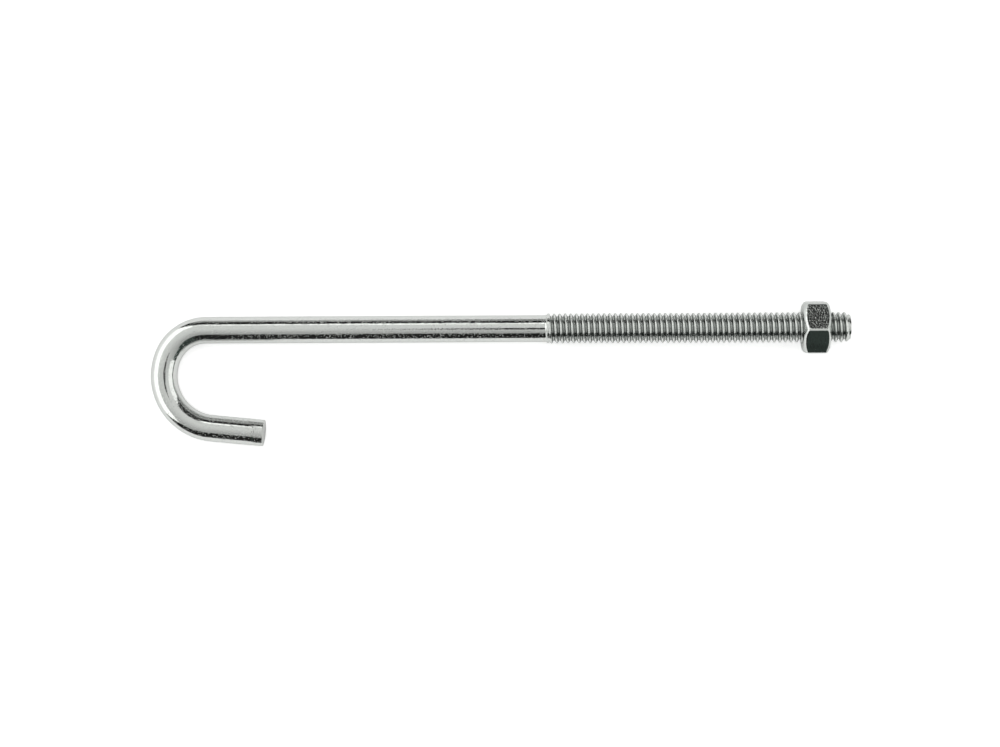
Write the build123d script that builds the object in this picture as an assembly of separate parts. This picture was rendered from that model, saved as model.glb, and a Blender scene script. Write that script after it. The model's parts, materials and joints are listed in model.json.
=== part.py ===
from build123d import *

import os
from math import acos, atan2, cos, degrees, hypot, radians, tan

# A J-bolt lying at rest: a round steel rod, bent cold into a hook at one end and threaded at the other,
# with its hex nut a few turns up the thread. Lengths are millimetres and angles are degrees.

# Rod
overall_length = 177.8          # 7 in, from the outside of the hook to the end of the thread
rod_diameter = 6.8              # the blank that the thread is rolled on
tip_chamfer = 0.1               # broken edge round the hook's cut end

# Hook: the bend opens as it leaves the rod, so it is two tangent arcs and then a straight leg
near_radius = 10.5              # radii are to the middle of the rod
near_turn = 66.4
far_radius = 13.4
far_turn = 108.1
leg_length = 13.4

# Thread, 5/16-18: its outside cylinder, with the cone where it runs out and the chamfered point
pitch = 25.4 / 18
thread_diameter = 7.75
thread_length = 76.2            # 3 in of full thread
runout_length = pitch
point_diameter = 6.1
point_length = 1.2

# Nut
across_flats = 12.7             # 1/2 in
nut_thickness = 6.75            # 17/64 in
corner_radius = 0.8
nut_chamfer_angle = 30
bearing_diameter = 0.9 * across_flats
bore_clearance = 0.075          # between the bore and the thread, on the radius
countersink_diameter = 8.5
countersink_depth = 0.3
turns_past_nut = 3.8            # thread that shows beyond the nut
nut_turn = 6.5                  # how far the nut's top corner leans towards the hook's side

# Values that follow from the driving dimensions
rod_radius = rod_diameter / 2
thread_radius = thread_diameter / 2
bore_radius = thread_radius + bore_clearance

# The middle of the rod: +X runs to the thread, the bend starts at x = 0 and turns towards -Y
near_bend = JernArc((0, 0), (-1, 0), near_radius, near_turn)
far_bend = JernArc(near_bend @ 1, near_bend % 1, far_radius, far_turn)
leg = Line(far_bend @ 1, far_bend @ 1 + far_bend % 1 * leg_length)
hook_end = far_bend.arc_center.X - far_radius
rod_end = hook_end - rod_radius + overall_length
thread_start = rod_end - thread_length
runout_start = thread_start - runout_length

# The nut's place on the thread, and the lowest line of its rounded corner
nut_outer_face = rod_end - turns_past_nut * pitch
nut_inner_face = nut_outer_face - nut_thickness
corner_centre = (across_flats / 2 - corner_radius) / cos(radians(30))
corner_reach = corner_centre + corner_radius
nut_chamfer_slope = tan(radians(nut_chamfer_angle))
corner_setback = (corner_reach - bearing_diameter / 2) * nut_chamfer_slope
nut_drop = corner_centre * cos(radians(nut_turn)) + corner_radius

# The rod rests on the hook's bend and on the nut's lower corner, so it tilts up towards the thread
rest_span = nut_inner_face + corner_setback - hook_end
rest_tilt = degrees(acos(rod_radius / hypot(nut_drop, rest_span)) - atan2(rest_span, nut_drop))


def make_bolt():
    """The rod in one piece: leg, bend and shank swept along the middle line, and the threaded end turned."""
    shank = Line((runout_start, 0), (0, 0))
    middle_line = shank + near_bend + far_bend + leg
    section = Plane(middle_line @ 0, z_dir=middle_line % 0) * Circle(rod_radius)
    blank = sweep(section, path=middle_line)
    tip_face = blank.faces().filter_by(GeomType.PLANE).sort_by_distance(leg @ 1)[0]
    blank = chamfer(tip_face.edges(), tip_chamfer)
    outline = Polyline(
        (runout_start, 0),
        (runout_start, rod_radius),
        (thread_start, thread_radius),
        (rod_end - point_length, thread_radius),
        (rod_end, point_diameter / 2),
        (rod_end, 0),
        close=True,
    )
    thread = revolve(make_face(outline), Axis.X)
    return blank + thread


def make_nut():
    """A hexagon bar cut to length, turned to a chamfer at both faces, bored and countersunk."""
    hexagon = RegularPolygon(across_flats / 2, 6, major_radius=False, rotation=90 + nut_turn)
    hexagon = fillet(hexagon.vertices(), corner_radius)
    bar = extrude(Plane.YZ * hexagon, nut_thickness)
    envelope = Polyline(
        (0, 0),
        (0, bearing_diameter / 2),
        (corner_setback, corner_reach),
        (nut_thickness - corner_setback, corner_reach),
        (nut_thickness, bearing_diameter / 2),
        (nut_thickness, 0),
        close=True,
    )
    bore = Polyline(
        (0, 0),
        (0, countersink_diameter / 2),
        (countersink_depth, bore_radius),
        (nut_thickness - countersink_depth, bore_radius),
        (nut_thickness, countersink_diameter / 2),
        (nut_thickness, 0),
        close=True,
    )
    nut = bar & revolve(make_face(envelope), Axis.X)
    nut -= revolve(make_face(bore), Axis.X)
    return Pos(nut_inner_face, 0, 0) * nut


def seat(pieces):
    """The location that lays the pieces at rest, with the middle of their footprint at the origin."""
    tilt = Rot(0, -rest_tilt, 0)
    box = Compound([tilt * piece for piece in pieces]).bounding_box()
    return Pos(-box.center().X, -box.center().Y, -box.min.Z) * tilt


pieces = {"j_bolt": make_bolt(), "hex_nut": make_nut()}
rest = seat(pieces.values())

os.makedirs("parts", exist_ok=True)
for name, piece in pieces.items():
    lying = rest * piece
    lying.label = name
    export_step(lying, f"parts/{name}.step")
    print(f"{name}: {lying.volume:.0f} mm3, valid {lying.is_valid}")
print(f"rest tilt {rest_tilt:.3f} degrees")
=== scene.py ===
# %% [markdown]
# # A zinc-plated J-bolt and its hex nut
# A J-bolt is one round steel rod: a thread is rolled on one end, and the other end is bent cold into
# a hook. A hex nut runs on the thread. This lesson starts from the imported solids, which give the main
# sizes and the place. It models both pieces again, with the true screw thread and the soft edges that
# catch the light.

# %% Load the solids
import json
from math import atan2, cos, hypot, pi, radians, sin, tan, tau

import bmesh
import bpy
from mathutils import Matrix, Vector


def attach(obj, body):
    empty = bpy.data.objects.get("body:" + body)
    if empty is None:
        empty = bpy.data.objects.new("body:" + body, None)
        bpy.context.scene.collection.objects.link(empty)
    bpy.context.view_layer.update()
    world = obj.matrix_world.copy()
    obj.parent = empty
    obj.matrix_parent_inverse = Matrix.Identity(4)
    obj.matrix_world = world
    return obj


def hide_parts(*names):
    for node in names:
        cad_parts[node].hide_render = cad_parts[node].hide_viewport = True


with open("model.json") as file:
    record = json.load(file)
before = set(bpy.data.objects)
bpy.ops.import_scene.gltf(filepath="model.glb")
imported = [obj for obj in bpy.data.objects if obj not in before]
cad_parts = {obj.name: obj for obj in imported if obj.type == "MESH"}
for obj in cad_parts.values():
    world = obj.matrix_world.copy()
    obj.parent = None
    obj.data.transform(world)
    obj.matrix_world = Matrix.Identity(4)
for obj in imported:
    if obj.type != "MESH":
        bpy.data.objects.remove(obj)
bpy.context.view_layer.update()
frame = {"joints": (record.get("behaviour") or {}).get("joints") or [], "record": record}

mounts = {mount["name"]: mount for mount in frame["record"]["mounts"]}

# %% [markdown]
# ## Sizes
# The record already holds the sizes that other parts rely on: the rod's and the thread's radius, the
# nut's seat and the direction of the rod. Only what a mount doesn't say is written here again, in
# millimetres. Everything is modelled in the bolt's own frame: +X along the rod, the bend starting at
# x = 0 and turning towards -Y. One matrix then lays it at rest, in metres.

# %% Sizes of the bolt and the nut
rod_radius = mounts["hook_leg"]["dims"]["r_mm"]
thread_radius = mounts["thread"]["dims"]["r_mm"]
thread_length = mounts["thread"]["dims"]["length_mm"]
far_radius = mounts["hook_seat"]["dims"]["r_mm"] + rod_radius
near_radius = 10.5
near_turn = radians(66.4)
far_turn = radians(108.1)
leg_length = 13.4
overall_length = 177.8

near_end_angle = pi / 2 + near_turn
leg_angle = near_end_angle + far_turn
near_centre = Vector((0, -near_radius, 0))
near_end_way = Vector((cos(near_end_angle), sin(near_end_angle), 0))
far_centre = near_centre + (near_radius - far_radius) * near_end_way
leg_way = Vector((-sin(leg_angle), cos(leg_angle), 0))
leg_start = far_centre + far_radius * Vector((cos(leg_angle), sin(leg_angle), 0))
rod_end = far_centre.x - far_radius - rod_radius + overall_length

along = Vector(frame["joints"][0]["axis"]).normalized()
side = Vector((0, 1, 0))
up = along.cross(side)
turned = Matrix((along, side, up)).transposed().to_4x4()
rod_end_place = Vector(mounts["thread"]["pos_m"])
MM_PER_METRE = 1000
in_metres = Matrix.Scale(1 / MM_PER_METRE, 4)
at_rest = Matrix.Translation(rod_end_place) @ turned @ in_metres @ Matrix.Translation((-rod_end, 0, 0))
nut_face = rod_end - (rod_end_place - Vector(mounts["nut_face"]["pos_m"])).length * MM_PER_METRE
print(f"rod end at x = {rod_end:.2f} mm, nut's inner face at x = {nut_face:.2f} mm")

# %% [markdown]
# ## The thread, one turn and its copies
# A screw thread is one outline carried round and along at the same time. The Spin operator does just that
# when it is given a step along the axis as well as an angle. One spin winds the first turn. Its copies,
# each moved on by whole turns, give the rest, since every turn is the same. Each turn's last points lie
# on the next turn's first, and merging the doubles joins them.

# %% Thread outline
pitch = 25.4 / 18
flank_slope = radians(60)
crest_round = 0.26
root_round = 0.14
round_steps = 3


def thread_outline(crest):
    """One pitch of a rolled thread as (x, radius): a round crest, a flank, a round root and a flank."""
    slopes = [flank_slope * step / round_steps for step in range(round_steps + 1)]
    flank_length = (pitch / 2 - (crest_round + root_round) * sin(flank_slope)) / cos(flank_slope)
    depth = (crest_round + root_round) * (1 - cos(flank_slope)) + flank_length * sin(flank_slope)
    half = [(crest_round * sin(slope), crest_round * (1 - cos(slope))) for slope in slopes]
    half += [
        (pitch / 2 - root_round * sin(slope), depth - root_round * (1 - cos(slope)))
        for slope in reversed(slopes)
    ]
    other = [(pitch - x, fallen) for x, fallen in reversed(half[:-1])]
    return [(x, crest - fallen) for x, fallen in half + other]


rod_outline = thread_outline(thread_radius)
thread_depth = thread_radius - min(radius for x, radius in rod_outline)
print(f"thread outline: {len(rod_outline)} points, {thread_depth:.2f} mm deep")

# %% Winding a thread
steps_per_turn = 64
MERGE = 0.004


def wind_thread(bm, outline, start, turns):
    """Winds one turn of the outline right-handed about +X, and doubles it until it has enough turns."""
    verts = [bm.verts.new((start + x, radius, 0)) for x, radius in outline]
    edges = [bm.edges.new(pair) for pair in zip(verts, verts[1:])]
    bmesh.ops.spin(
        bm, geom=verts + edges, cent=(0, 0, 0), axis=(1, 0, 0), dvec=(pitch / steps_per_turn, 0, 0),
        angle=tau, steps=steps_per_turn, use_merge=False, use_duplicate=False,
    )
    made = 1
    while made < turns:
        copy = bmesh.ops.duplicate(bm, geom=bm.verts[:] + bm.edges[:] + bm.faces[:])["geom"]
        copied = [item for item in copy if isinstance(item, bmesh.types.BMVert)]
        bmesh.ops.translate(bm, verts=copied, vec=(made * pitch, 0, 0))
        made *= 2
    bmesh.ops.remove_doubles(bm, verts=bm.verts, dist=MERGE)


# %% Turning and cutting, as on a lathe


def turn_to(bm, radius_at):
    """Moves every point in or out to radius_at(x, radius), as a lathe tool would."""
    for vert in bm.verts:
        radius = hypot(vert.co.y, vert.co.z)
        share = radius_at(vert.co.x, radius) / radius
        vert.co.y *= share
        vert.co.z *= share


def cut_square(bm, x, way):
    """Cuts everything past x away, on the side that way points to, and gives the open loop's edges."""
    everything = bm.verts[:] + bm.edges[:] + bm.faces[:]
    bmesh.ops.bisect_plane(
        bm, geom=everything, dist=MERGE, plane_co=(x, 0, 0), plane_no=(way, 0, 0), clear_outer=True)
    return [
        edge for edge in bm.edges
        if edge.is_boundary and all(abs(vert.co.x - x) < 2 * MERGE for vert in edge.verts)
    ]


def smooth_step(low, high, value):
    """0 up to low, 1 from high on, and a smooth change between them."""
    share = min(1.0, max(0.0, (value - low) / (high - low)))
    return share * share * (3 - 2 * share)


# %% [markdown]
# ## The rod
# The real one is threaded first and bent afterwards, and the mesh follows the same order. The thread is
# wound, faded out where it meets the plain rod and chamfered at its point. It is then cut square, and the
# cut loop is drawn out: Extrude makes the straight lengths and Spin makes the two arcs of the bend. One
# loop carried all the way leaves no seam between the thread, the shank and the hook.

# %% The threaded end
point_length = 1.2
point_radius = 3.05
rise_turns = (-0.58, -0.28)
groove_turns = (-0.35, 0.35)
run_in_turns = 1.6
lead_turns = 3.09
spare_turns = 2
thread_start = rod_end - thread_length
shank_end = thread_start - run_in_turns * pitch
blank_start = thread_start - lead_turns * pitch
rod_turns = int((rod_end - blank_start) / pitch) + spare_turns
rod = bmesh.new()
wind_thread(rod, rod_outline, blank_start, rod_turns)


def rod_outside(x, radius):
    """The thread fades into the plain rod at its start, and is chamfered at its point."""
    from_start = (x - thread_start) / pitch
    risen = smooth_step(*rise_turns, from_start)
    grooved = smooth_step(*groove_turns, from_start)
    faded = rod_radius + (thread_radius - rod_radius) * risen - (thread_radius - radius) * grooved
    past_chamfer = max(0.0, x - (rod_end - point_length)) / point_length
    return min(faded, thread_radius - (thread_radius - point_radius) * past_chamfer)


turn_to(rod, rod_outside)
point_loop = cut_square(rod, rod_end, 1)
shank_loop = cut_square(rod, shank_end, -1)
print("thread", rod_turns, "turns,", len(rod.faces), "faces")
print("loops of", len(point_loop), "and", len(shank_loop), "edges")

# %% The shank, the bend and the leg
shank_rings = 60
near_rings = 30
far_rings = 48
leg_rings = 67


def loop_of(geom):
    """The edges among what an operator made."""
    return [item for item in geom if isinstance(item, bmesh.types.BMEdge)]


def draw_out(bm, loop, step, count):
    """Extrudes an open loop by the same step, count times."""
    for _ in range(count):
        made = bmesh.ops.extrude_edge_only(bm, edges=loop)["geom"]
        bmesh.ops.translate(bm, verts=[v for v in made if isinstance(v, bmesh.types.BMVert)], vec=step)
        loop = [edge for edge in loop_of(made) if edge.is_boundary]
    return loop


def bend(bm, loop, centre, turn, count):
    """Spins an open loop about a centre in the hook's plane."""
    verts = list(dict.fromkeys(vert for edge in loop for vert in edge.verts))
    made = bmesh.ops.spin(
        bm, geom=verts + loop, cent=centre, axis=(0, 0, 1), angle=turn, steps=count,
        use_merge=False, use_duplicate=False)
    return loop_of(made["geom_last"])


loop = draw_out(rod, shank_loop, (-shank_end / shank_rings, 0, 0), shank_rings)
loop = bend(rod, loop, near_centre, near_turn, near_rings)
loop = bend(rod, loop, far_centre, far_turn, far_rings)
tip_loop = draw_out(rod, loop, leg_way * (leg_length / leg_rings), leg_rings)
print("rod with hook:", len(rod.faces), "faces")

# %% The two cut ends
tip_bevel = 0.08
point_bevel = 0.06
tip_face = bmesh.ops.edgeloop_fill(rod, edges=tip_loop)["faces"]
point_face = bmesh.ops.edgeloop_fill(rod, edges=point_loop)["faces"]
bmesh.ops.recalc_face_normals(rod, faces=rod.faces)
for face, width in ((tip_face[0], tip_bevel), (point_face[0], point_bevel)):
    bmesh.ops.bevel(
        rod, geom=list(face.edges), offset=width, segments=3, profile=0.5, affect="EDGES", material=-1,
        clamp_overlap=True)
print("open edges:", sum(edge.is_boundary for edge in rod.edges))

# %% [markdown]
# ## The press mark
# The rod is cropped to length in a press, and the tool leaves the top of the leg a little flatter for the
# last few millimetres. A smooth pull of the points towards the middle of the rod is enough: bright metal
# shows a hollow of a fifth of a millimetre as a bend in its reflections.

# %% Press mark on the leg
press_length = 2.3
press_rise = 0.4
press_depth = 0.2
press_side = radians(-14)
press_half_angle = radians(55)
near_leg = 1.1 * rod_radius
past_tip = 1
leg_tip = leg_start + leg_way * leg_length
leg_side = Vector((0, 0, 1)).cross(leg_way)
pressed = 0
for vert in rod.verts:
    from_tip = (leg_tip - vert.co).dot(leg_way)
    across = (vert.co - leg_tip).dot(leg_side)
    from_mark = atan2(across, vert.co.z) - press_side
    on_leg = abs(across) < near_leg and -past_tip < from_tip < press_length + press_rise
    if on_leg and abs(from_mark) < press_half_angle:
        inward = Vector((0, 0, vert.co.z)) + leg_side * across
        edge = smooth_step(press_length + press_rise, press_length, from_tip)
        hollow = press_depth * (1 + cos(pi * from_mark / press_half_angle)) / 2 * edge
        vert.co -= hollow / rod_radius * inward
        pressed += 1
print("press mark moved", pressed, "points")

# %% [markdown]
# ## Where the finish lies
# Drawing lines and plating marks follow the rod round its bend, so the finish needs to know where each
# point was before bending. A UV map gives two numbers, and a solid noise takes three, so that straight
# place goes on the mesh as an attribute, in millimetres.

# %% The straight place of a bent point


def unbent(point):
    """Where a point of the hook was on the straight rod."""
    from_near = point - near_centre
    from_far = point - far_centre
    near_angle = atan2(from_near.y, from_near.x) % tau
    far_angle = atan2(from_far.y, from_far.x) % tau
    bent_length = near_radius * near_turn + far_radius * far_turn
    if point.x >= 0 and point.y > near_centre.y:
        return point
    if near_angle <= near_end_angle:
        return Vector((-near_radius * (near_angle - pi / 2), from_near.xy.length - near_radius, point.z))
    if far_angle <= leg_angle:
        gone = near_radius * near_turn + far_radius * (far_angle - near_end_angle)
        return Vector((-gone, from_far.xy.length - far_radius, point.z))
    from_leg = point - leg_start
    outward = Vector((cos(leg_angle), sin(leg_angle), 0))
    return Vector((-bent_length - from_leg.dot(leg_way), from_leg.dot(outward), point.z))


print("straight place of the leg's tip:", [round(number, 2) for number in unbent(leg_tip)])

# %% Turning a mesh into a piece
sharp_angle = radians(25)


def make_piece(name, bm, straight, body, node):
    """Writes a bmesh to an object at rest, with its straight place as an attribute."""
    mesh = bpy.data.meshes.new(name)
    bm.to_mesh(mesh)
    bm.free()
    places = [coordinate for vert in mesh.vertices for coordinate in straight(vert.co)]
    mesh.attributes.new("straight", "FLOAT_VECTOR", "POINT").data.foreach_set("vector", places)
    mesh.transform(at_rest)
    mesh.shade_smooth()
    mesh.set_sharp_from_angle(angle=sharp_angle)
    piece = bpy.data.objects.new(name, mesh)
    bpy.context.scene.collection.objects.link(piece)
    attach(piece, body)
    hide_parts(node)
    print(name, len(mesh.polygons), "faces")
    return piece


bolt_piece = make_piece("hook_bolt", rod, unbent, "bolt", "j_bolt")

# %% [markdown]
# ## The nut
# A nut is cut from hexagon bar and turned to a 30 degree chamfer, so each flat ends in a shallow curve. A
# ring of points is drawn outwards over one face, down the flats and in over the other face, and each ring
# is set to the radius that the hexagon has at its angle. A boolean cut of a cone would leave long, thin
# faces there, while rings keep the curve where the chamfer meets the flat exact and its edge soft.

# %% Nut outline
across_flats = 12.7
nut_thickness = 6.75
corner_radius = 0.8
bearing_share = 0.9
bearing_radius = bearing_share * across_flats / 2
chamfer_angle = radians(30)
nut_turn = radians(6.5)
edge_rounding = 0.3
corner_rounding = 0.4
corner_rise = (0.25, 0.8)


def hexagon_radius(angle):
    """The rounded hexagon's radius at an angle about the axis, with a corner nearly at the top."""
    from_corner = abs((angle - pi / 2 - nut_turn + pi / 6) % (pi / 3) - pi / 6)
    centre = (across_flats / 2 - corner_radius) / cos(pi / 6)
    tangent = atan2(corner_radius * sin(pi / 6), centre + corner_radius * cos(pi / 6))
    if from_corner > tangent:
        return across_flats / 2 / cos(pi / 6 - from_corner)
    return centre * cos(from_corner) + (corner_radius ** 2 - (centre * sin(from_corner)) ** 2) ** 0.5


def edge_place(angle, share):
    """A point (x, radius) of the rounded edge, from the flat at share 0 to the chamfer at share 1."""
    radius = hexagon_radius(angle)
    edge = Vector(((radius - bearing_radius) * tan(chamfer_angle), radius))
    near_corner = smooth_step(*corner_rise, radius - across_flats / 2)
    rounding = edge_rounding + (corner_rounding - edge_rounding) * near_corner
    on_flat = edge + rounding * Vector((1, 0))
    on_chamfer = edge - 2 * rounding * Vector((sin(chamfer_angle), cos(chamfer_angle)))
    return on_flat * (1 - share) ** 2 + 2 * edge * share * (1 - share) + on_chamfer * share ** 2


print(f"nut: {2 * hexagon_radius(pi / 2 + nut_turn):.2f} mm across its rounded corners")

# %% Nut blank
nut_segments = 360
edge_steps = 6
flat_margin = Vector((0.08, 0))
nut_rings = [
    lambda angle, share=step / edge_steps: edge_place(angle, 1 - share)
    for step in range(edge_steps + 1)
]
nut_rings += [lambda angle: edge_place(angle, 0) + flat_margin]
far_end = Vector((nut_thickness, 0))
mirror_x = Matrix(((-1, 0), (0, 1)))
nut_rings += [lambda angle, ring=ring: far_end + mirror_x @ ring(angle) for ring in reversed(nut_rings)]
nut_rings += [lambda angle: (nut_thickness, bearing_radius)]


def set_ring(verts, place):
    """Sets each point of a ring to the (x, radius) that place gives for its angle."""
    for vert in verts:
        angle = atan2(vert.co.z, vert.co.y)
        x, radius = place(angle)
        vert.co = (nut_face + x, radius * cos(angle), radius * sin(angle))


nut = bmesh.new()
quarter = Matrix.Rotation(pi / 2, 4, "Y")
first = bmesh.ops.create_circle(nut, segments=nut_segments, radius=bearing_radius, matrix=quarter)
set_ring(first["verts"], lambda angle: (0, bearing_radius))
loop = nut.edges[:]
for ring in nut_rings:
    made = bmesh.ops.extrude_edge_only(nut, edges=loop)["geom"]
    set_ring([item for item in made if isinstance(item, bmesh.types.BMVert)], ring)
    loop = [edge for edge in loop_of(made) if edge.is_boundary]
print("nut blank:", len(nut.faces), "faces")

# %% Nut thread and faces
thread_gap = 0.06
mouth_radius = 4.25
bore_turns = 9
bore = bmesh.new()
turns_to_nut = int((nut_face - blank_start) / pitch) - spare_turns
bore_start = blank_start + turns_to_nut * pitch
bore_outline = thread_outline(thread_radius + thread_gap)
wind_thread(bore, bore_outline, bore_start, bore_turns)


def bore_inside(x, radius):
    """The thread opens to a countersink at each face of the nut."""
    from_face = min(x - nut_face, nut_face + nut_thickness - x)
    return max(radius, mouth_radius - max(0.0, from_face))


turn_to(bore, bore_inside)
cut_square(bore, nut_face + nut_thickness, 1)
cut_square(bore, nut_face, -1)
bore_mesh = bpy.data.meshes.new("bore")
bore.to_mesh(bore_mesh)
bore.free()
nut.from_mesh(bore_mesh)
bpy.data.meshes.remove(bore_mesh)
for x in (nut_face, nut_face + nut_thickness):
    rim = [e for e in nut.edges if e.is_boundary and all(abs(v.co.x - x) < 2 * MERGE for v in e.verts)]
    bmesh.ops.triangle_fill(nut, use_beauty=True, use_dissolve=False, edges=rim, normal=(1, 0, 0))
bmesh.ops.recalc_face_normals(nut, faces=nut.faces)
print("nut:", len(nut.faces), "faces, open edges:", sum(edge.is_boundary for edge in nut.edges))


def from_nut_face(point):
    """A nut isn't bent, so its straight place is only measured from its own face."""
    return point - Vector((nut_face, 0, 0))


nut_piece = make_piece("hexagon_nut", nut, from_nut_face, "nut", "hex_nut")

# %% [markdown]
# ## Plating, as a node group
# Electroplated zinc is a bright, slightly uneven skin. It has a faint ripple, the long lines left by
# drawing the wire through its die, and small pits. Rod and nut share these marks, so they are one node
# group. It works in the straight place, in millimetres, and gives a height in micrometres and a mask of
# duller patches.

# %% Node helpers
VALUE = "NodeSocketFloat"
VECTOR = "NodeSocketVector"


def feed(tree, socket, value):
    """Links a node's output to a socket, or sets the socket to a number, colour or vector."""
    if isinstance(value, bpy.types.NodeSocket):
        tree.links.new(value, socket)
    else:
        socket.default_value = value


def add_node(tree, kind, **inputs):
    """A node with its inputs set or linked, by name."""
    node = tree.nodes.new(kind)
    for name, value in inputs.items():
        feed(tree, node.inputs[name], value)
    return node


def calculate(tree, operation, *values):
    """A Math node's result."""
    node = tree.nodes.new("ShaderNodeMath")
    node.operation = operation
    for socket, value in zip(node.inputs, values):
        feed(tree, socket, value)
    return node.outputs[0]


def fade(tree, value, low, high, start=0.0, end=1.0):
    """A smooth change from start to end while value goes from low to high."""
    node = tree.nodes.new("ShaderNodeMapRange")
    node.interpolation_type = "SMOOTHSTEP"
    tree.links.new(value, node.inputs["Value"])
    for name, number in (("From Min", low), ("From Max", high), ("To Min", start), ("To Max", end)):
        node.inputs[name].default_value = number
    return node.outputs["Result"]


def noise(tree, place, scale, detail=2.0):
    """A noise between about -1 and 1."""
    node = add_node(tree, "ShaderNodeTexNoise", Vector=place, Scale=scale, Detail=detail)
    return calculate(tree, "MULTIPLY_ADD", node.outputs[0], 4.0, -2.0)


def stretched(tree, place, factors):
    """The place, squeezed or drawn out along each axis."""
    node = tree.nodes.new("ShaderNodeVectorMath")
    node.operation = "MULTIPLY"
    tree.links.new(place, node.inputs[0])
    node.inputs[1].default_value = factors
    return node.outputs["Vector"]


# %% Plating group
line_stretch = (0.05, 3.0, 3.0)
patch_stretch = (0.3, 1.0, 1.0)
pit_scale = 2.6
patch_scale = 0.16
ripple_scale = 2.0
least_share = 0.45
plating = bpy.data.node_groups.new("zinc_plating", "ShaderNodeTree")
for name, kind in (("Place", VECTOR), ("Ripple", VALUE), ("Die Lines", VALUE), ("Pits", VALUE)):
    plating.interface.new_socket(name, in_out="INPUT", socket_type=kind)
for name in ("Height", "Dull"):
    plating.interface.new_socket(name, in_out="OUTPUT", socket_type=VALUE)
given = plating.nodes.new("NodeGroupInput").outputs
result = plating.nodes.new("NodeGroupOutput").inputs
along_rod = stretched(plating, given["Place"], line_stretch)
lines = calculate(plating, "MULTIPLY", noise(plating, along_rod, 1.0, 3.0), given["Die Lines"])
spots = fade(plating, noise(plating, given["Place"], pit_scale, 1.0), 0.45, 0.7)
patch_place = stretched(plating, given["Place"], patch_stretch)
patches = fade(plating, noise(plating, patch_place, patch_scale), -0.3, 0.6)
uneven = calculate(plating, "MULTIPLY_ADD", patches, 1 - least_share, least_share)
ripple = calculate(plating, "MULTIPLY", noise(plating, given["Place"], ripple_scale), given["Ripple"])
ripple = calculate(plating, "MULTIPLY", ripple, uneven)
pits = calculate(plating, "MULTIPLY", calculate(plating, "MULTIPLY", spots, uneven), given["Pits"])
height = calculate(plating, "SUBTRACT", calculate(plating, "ADD", ripple, lines), pits)
plating.links.new(height, result["Height"])
plating.links.new(patches, result["Dull"])
print("plating group:", len(plating.nodes), "nodes")

# %% [markdown]
# ## Zinc on the rod
# The plain rod is bright. Down in the thread the flanks are rougher, since rolling leaves them rough, and
# their darker colour is painted shade in the grooves. Two materials would meet in a hard line, so one
# material fades between them. The straight place tells them apart: its distance from the axis is the
# depth in the thread.

# %% Plated metal
MICROMETRE = 1e-6
zinc_colour = (0.738, 0.75, 0.735, 1)
edge_tint = (0.81, 0.815, 0.81, 1)


def plated(name, ripple, die_lines, pits):
    """A zinc material with its plating's bump, and the parts that the finish still needs."""
    material = bpy.data.materials.new(name)
    material.use_nodes = True
    tree = material.node_tree
    shader = tree.nodes["Principled BSDF"]
    shader.inputs["Metallic"].default_value = 1
    shader.inputs["Specular Tint"].default_value = edge_tint
    place = tree.nodes.new("ShaderNodeAttribute")
    place.attribute_name = "straight"
    marks = tree.nodes.new("ShaderNodeGroup")
    marks.node_tree = plating
    tree.links.new(place.outputs["Vector"], marks.inputs["Place"])
    for socket, value in (("Ripple", ripple), ("Die Lines", die_lines), ("Pits", pits)):
        marks.inputs[socket].default_value = value
    height = marks.outputs["Height"]
    bump = add_node(tree, "ShaderNodeBump", Strength=1.0, Distance=MICROMETRE, Height=height)
    tree.links.new(bump.outputs["Normal"], shader.inputs["Normal"])
    return material, tree, shader, place.outputs["Vector"], marks.outputs["Dull"]


def mix_colours(tree, share, a, b):
    """Colour a where share is 0 and b where it is 1."""
    node = tree.nodes.new("ShaderNodeMix")
    node.data_type = "RGBA"
    tree.links.new(share, node.inputs["Factor"])
    node.inputs[6].default_value = a
    node.inputs[7].default_value = b
    return node.outputs[2]


# %% Rod finish
# The darker colour for the thread is painted shade in its grooves.
thread_shade_colour = (0.42, 0.435, 0.425, 1)
crest_band = (3.76, 3.66)
root_band = (3.06, 3.14)
root_share = 0.35
bright_roughness = 0.06
patch_roughness = 0.04
flank_roughness = 0.15
rod_material, tree, shader, place, dull = plated("rod_zinc", 8.0, 3.0, 34.0)
parts = add_node(tree, "ShaderNodeSeparateXYZ", Vector=place).outputs
y_squared = calculate(tree, "POWER", parts["Y"], 2.0)
z_squared = calculate(tree, "POWER", parts["Z"], 2.0)
axis_distance = calculate(tree, "SQRT", calculate(tree, "ADD", y_squared, z_squared))
threaded = fade(tree, parts["X"], thread_start - 0.2, thread_start + 0.8)
under_crest = fade(tree, axis_distance, *crest_band)
over_root = fade(tree, axis_distance, *root_band, root_share, 1.0)
flank = calculate(tree, "MULTIPLY", under_crest, over_root)
flank = calculate(tree, "MULTIPLY", flank, threaded)
chamfer_start = rod_end - point_length
point = fade(tree, parts["X"], chamfer_start - 0.1, chamfer_start + 0.1, 1.0, 0.0)
flank = calculate(tree, "MULTIPLY", flank, point)
# The flank mask lays the painted shade into the thread; the same mask makes the flanks rougher below.
tree.links.new(mix_colours(tree, flank, zinc_colour, thread_shade_colour), shader.inputs["Base Color"])
roughness = calculate(tree, "MULTIPLY_ADD", dull, patch_roughness, bright_roughness)
roughness = calculate(tree, "MULTIPLY_ADD", flank, flank_roughness, roughness)
tree.links.new(roughness, shader.inputs["Roughness"])
bolt_piece.data.materials.append(rod_material)
print("rod finish:", len(tree.nodes), "nodes")

# %% [markdown]
# ## Zinc on the nut
# Nuts are cut from drawn hexagon bar and tumbled with others, so the flats keep long lines and a
# stronger ripple, but no pits. The same group gives both with its own numbers. On a flat that mirrors
# the edge of something dark, such a ripple shows as light streaks. On one that mirrors its middle, it
# hardly shows.

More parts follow.
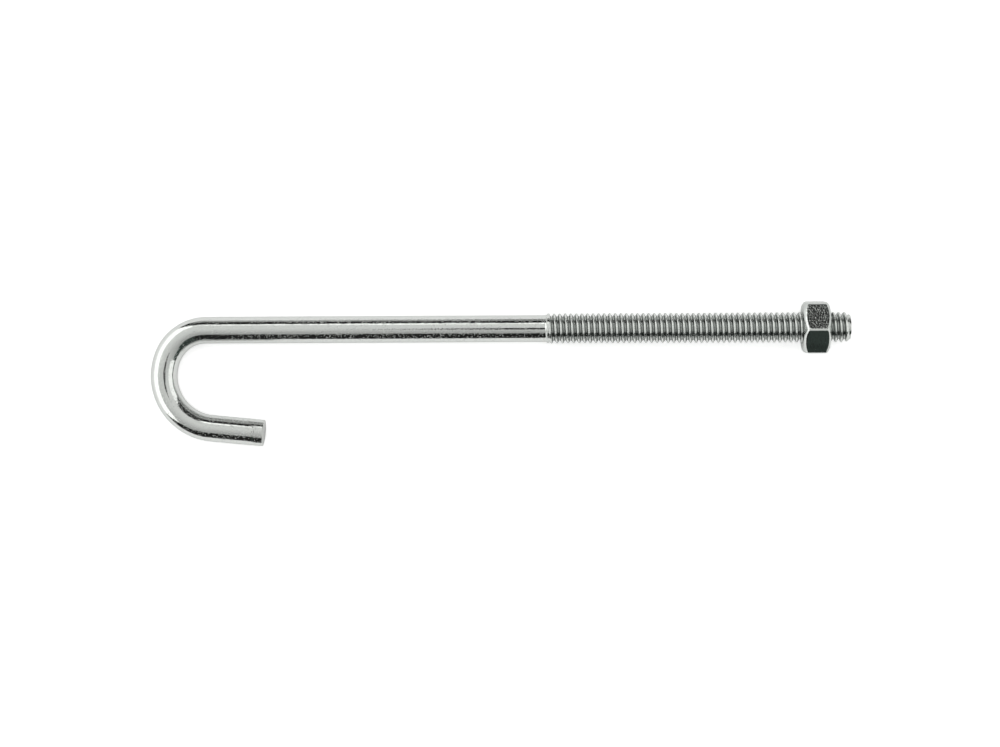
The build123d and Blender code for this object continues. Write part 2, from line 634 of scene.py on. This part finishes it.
# %% Nut finish
nut_colour = (0.79, 0.81, 0.79, 1)
nut_hollow = (0.64, 0.66, 0.645, 1)
nut_roughness = 0.05
hollow_roughness = 0.03
nut_material, tree, shader, place, dull = plated("nut_zinc", 13.0, 8.0, 0.0)
tree.links.new(mix_colours(tree, dull, nut_colour, nut_hollow), shader.inputs["Base Color"])
roughness = calculate(tree, "MULTIPLY_ADD", dull, hollow_roughness, nut_roughness)
tree.links.new(roughness, shader.inputs["Roughness"])
nut_piece.data.materials.append(nut_material)
print("nut finish:", len(tree.nodes), "nodes")

# %% [markdown]
# ## Studio
# Bright metal shows its surroundings, so the light tent around it is half of the finish. This one has a
# diffuser overhead that is brighter towards the back, white walls at both ends, an opening at the front
# and a slot at the back. The opening and the slot draw the two dark lines along the rod. The floor is
# brighter to the camera than in the metal's reflections, so that it stays plain and pale.

# %% Floor
floor_half = 2.0
floor_colour = (0.8, 0.8, 0.8, 1)
glow_to_camera = 0.47
glow_in_metal = 0.07
WHITE = (1, 1, 1, 1)
floor_mesh = bmesh.new()
bmesh.ops.create_grid(floor_mesh, x_segments=1, y_segments=1, size=floor_half)
floor_data = bpy.data.meshes.new("floor")
floor_mesh.to_mesh(floor_data)
floor_mesh.free()
floor = bpy.data.objects.new("floor", floor_data)
bpy.context.scene.collection.objects.link(floor)
floor_paint = bpy.data.materials.new("floor_white")
floor_paint.use_nodes = True
tree = floor_paint.node_tree
tree.nodes.clear()
seen_white = add_node(tree, "ShaderNodeBsdfDiffuse", Color=floor_colour)
floor_glow = add_node(tree, "ShaderNodeEmission", Color=WHITE, Strength=glow_to_camera)
pale = tree.nodes.new("ShaderNodeAddShader")
tree.links.new(seen_white.outputs[0], pale.inputs[0])
tree.links.new(floor_glow.outputs[0], pale.inputs[1])
mirror_glow = add_node(tree, "ShaderNodeEmission", Color=WHITE, Strength=glow_in_metal)
in_metal = tree.nodes.new("ShaderNodeAddShader")
tree.links.new(seen_white.outputs[0], in_metal.inputs[0])
tree.links.new(mirror_glow.outputs[0], in_metal.inputs[1])
by_ray = tree.nodes.new("ShaderNodeMixShader")
tree.links.new(tree.nodes.new("ShaderNodeLightPath").outputs["Is Glossy Ray"], by_ray.inputs[0])
tree.links.new(pale.outputs[0], by_ray.inputs[1])
tree.links.new(in_metal.outputs[0], by_ray.inputs[2])
tree.links.new(by_ray.outputs[0], tree.nodes.new("ShaderNodeOutputMaterial").inputs["Surface"])
floor_data.materials.append(floor_paint)
print("floor:", 2 * floor_half, "m across")

# %% [markdown]
# ## The light tent
# A real tent is white cloth on a frame, with gaps where the cloth ends. Modelled panels would do as
# well, but they would stand in the way of other views. The world's shader gives the same reflections and
# hides itself from the camera, which sees a plain backdrop. Each direction is told by its height in
# degrees and by how nearly it points to the front or the back, and each edge of the cloth is a short,
# smooth change.

# %% Directions in the tent


def mix_values(tree, share, a, b):
    """a where share is 0 and b where it is 1."""
    node = tree.nodes.new("ShaderNodeMix")
    for name, value in (("Factor", share), ("A", a), ("B", b)):
        feed(tree, node.inputs[name], value)
    return node.outputs["Result"]


front_way = (0.139, -0.99)
back_way = (0.178, 0.984)
world = bpy.data.worlds.new("light_tent")
bpy.context.scene.world = world
world.use_nodes = True
tent = world.node_tree
tent.nodes.clear()
way = tent.nodes.new("ShaderNodeTexCoord").outputs["Generated"]
way = add_node(tent, "ShaderNodeSeparateXYZ", Vector=way).outputs
height = calculate(tent, "DEGREES", calculate(tent, "ARCSINE", way["Z"]))
level = calculate(tent, "SQRT", calculate(tent, "SUBTRACT", 1.0, calculate(tent, "POWER", way["Z"], 2.0)))
level = calculate(tent, "MAXIMUM", level, 0.001)


def towards(heading):
    """How nearly a direction, seen from above, has this heading: 1 straight at it, -1 straight away."""
    share_x = calculate(tent, "MULTIPLY", way["X"], heading[0])
    share_y = calculate(tent, "MULTIPLY_ADD", way["Y"], heading[1], share_x)
    return calculate(tent, "DIVIDE", share_y, level)


to_front = towards(front_way)
to_back = towards(back_way)
right = fade(tent, towards((1, 0)), -0.2, 0.2)
past_middle = fade(tent, calculate(tent, "DIVIDE", way["X"], level), 0.03, 0.11)
print("directions in the tent:", len(tent.nodes), "nodes")

# %% End walls and diffuser
left_height = 45.0
right_height = 43.0
left_slope = calculate(tent, "MULTIPLY_ADD", to_front, -75.0, 74.75)
left_top = calculate(tent, "MINIMUM", left_slope, left_height)
right_top = fade(tent, to_front, 0.5, 0.6, right_height, 0.0)
wall_top = mix_values(tent, right, left_top, right_top)
wall = fade(tent, calculate(tent, "SUBTRACT", height, wall_top), 2, -2)
wall_light = mix_values(tent, right, fade(tent, height, 0, 14, 1.2, 1.5), 1.2)
diffuser = fade(tent, way["Y"], -0.75, 0.3, 0.42, 0.78)
light = mix_values(tent, wall, diffuser, wall_light)
print("with walls and diffuser:", len(tent.nodes), "nodes")

# %% Slot and panel at the back
dark_left = 0.016
dark_right = 0.044
slot_left = 40.5
slot_right = 53.0
dark = mix_values(tent, past_middle, dark_left, dark_right)
back = fade(tent, calculate(tent, "MULTIPLY_ADD", height, -0.0046, to_back), 0.61, 0.66)
slot_top = mix_values(tent, past_middle, slot_left, slot_right)
from_slot = calculate(tent, "SUBTRACT", height, slot_top)
over_slot = mix_values(tent, past_middle, 1.5, 0.85)
behind = mix_values(tent, fade(tent, from_slot, 5, 11), over_slot, diffuser)
behind = mix_values(tent, fade(tent, from_slot, 1, -1), behind, dark)
panel = calculate(tent, "MULTIPLY", fade(tent, height, 20, 16), fade(tent, to_back, 0.8, 0.88))
behind = mix_values(tent, panel, behind, fade(tent, height, 0, 20, 0.47, 0.3))
light = mix_values(tent, back, light, behind)
print("with the slot:", len(tent.nodes), "nodes")

# %% Opening at the front
opening_height = 49.0
cloth_tint = (0.985, 1.0, 0.978, 1)
opening_tint = (0.85, 1.12, 1.0, 1)
left_step = fade(tent, to_front, 0.36, 0.64, 0.0, 34.0)
left_arch = calculate(tent, "ADD", left_step, fade(tent, to_front, 0.62, 0.9, 0.0, 14.5))
right_step = fade(tent, to_front, 0.49, 0.61, 7.5, 30.0)
right_arch = calculate(tent, "ADD", right_step, fade(tent, to_front, 0.75, 1.0, 0.0, 18.5))
opening_top = mix_values(tent, right, left_arch, right_arch)
opening_top = calculate(tent, "MINIMUM", opening_top, opening_height)
under_top = calculate(tent, "SUBTRACT", opening_top, height)
opening = fade(tent, under_top, -2, 2)
light = mix_values(tent, opening, light, dark)
green = calculate(tent, "MULTIPLY", opening, past_middle)
tint = mix_colours(tent, green, cloth_tint, opening_tint)
print("with the opening:", len(tent.nodes), "nodes")

# %% Light tent, hidden from the camera
tent_light = add_node(tent, "ShaderNodeBackground", Color=tint, Strength=light)
backdrop = add_node(tent, "ShaderNodeBackground", Color=WHITE, Strength=1.0)
by_ray = tent.nodes.new("ShaderNodeMixShader")
tent.links.new(tent.nodes.new("ShaderNodeLightPath").outputs["Is Camera Ray"], by_ray.inputs[0])
tent.links.new(tent_light.outputs[0], by_ray.inputs[1])
tent.links.new(backdrop.outputs[0], by_ray.inputs[2])
tent.links.new(by_ray.outputs[0], tent.nodes.new("ShaderNodeOutputWorld").inputs["Surface"])
print("light tent:", len(tent.nodes), "nodes")

# %% [markdown]
# ## A lamp for the floor
# The tent's brightness is set by what the metal shows, so the floor gets a light of its own. A large area
# lamp overhead brightens it and keeps the shadow under the rod soft. The lamp is hidden from the metal, so
# it adds no highlight.

# %% Floor lamp
lamp_data = bpy.data.lights.new("floor_lamp", "AREA")
lamp_data.size = 2.2
lamp_data.energy = 12
lamp = bpy.data.objects.new("floor_lamp", lamp_data)
lamp.location = (0, 0.1, 1.2)
lamp.visible_glossy = False
bpy.context.scene.collection.objects.link(lamp)
print("lamp:", lamp_data.energy, "W,", lamp_data.size, "m square")

# %% [markdown]
# ## Camera
# The photograph looks straight down from a little over half a metre, just to the right of the bolt's
# middle, so the camera is shifted by that much to frame it. The polished rod mirrors the camera as well:
# the dark front of the lens shows as a thin line along the middle of the shank. A plain dark disc stands
# for it, which only the metal sees. The Standard view transform keeps the white of the floor white.

# %% Camera
camera_height = 0.555
camera_x = 0.0055
camera_y = 0.0001
camera_roll = radians(-0.25)
sensor_width = 36
picture_width = 0.25428
picture_centre = 0.00014
subject_height = 0.005
camera_data = bpy.data.cameras.new("camera")
camera_data.sensor_width = sensor_width
camera_data.lens = sensor_width * (camera_height - subject_height) / picture_width
camera = bpy.data.objects.new("camera", camera_data)
camera_data.shift_x = (picture_centre - camera_x) / picture_width
camera.location = (camera_x, camera_y, camera_height)
camera.rotation_euler = (0, 0, camera_roll)
bpy.context.scene.collection.objects.link(camera)
bpy.context.scene.camera = camera
bpy.context.scene.view_settings.view_transform = "Standard"
print(f"camera: {camera_data.lens:.1f} mm lens, shift {camera_data.shift_x:.4f}")

# %% The lens that the metal reflects
lens_radius = 0.08
lens_gap = 0.002
lens_colour = (0.01, 0.01, 0.01, 1)
lens_place = Matrix.Translation((camera_x, 0, camera_height + lens_gap))
lens_mesh = bmesh.new()
bmesh.ops.create_circle(lens_mesh, cap_ends=True, segments=48, radius=lens_radius, matrix=lens_place)
lens_data = bpy.data.meshes.new("lens_hood")
lens_mesh.to_mesh(lens_data)
lens_mesh.free()
lens = bpy.data.objects.new("lens_hood", lens_data)
bpy.context.scene.collection.objects.link(lens)
lens.visible_camera = False
lens.visible_shadow = False
lens.visible_diffuse = False
lens_black = bpy.data.materials.new("lens_black")
lens_black.use_nodes = True
lens_black.node_tree.nodes["Principled BSDF"].inputs["Base Color"].default_value = lens_colour
lens_data.materials.append(lens_black)
print("lens:", 2 * lens_radius, "m across")
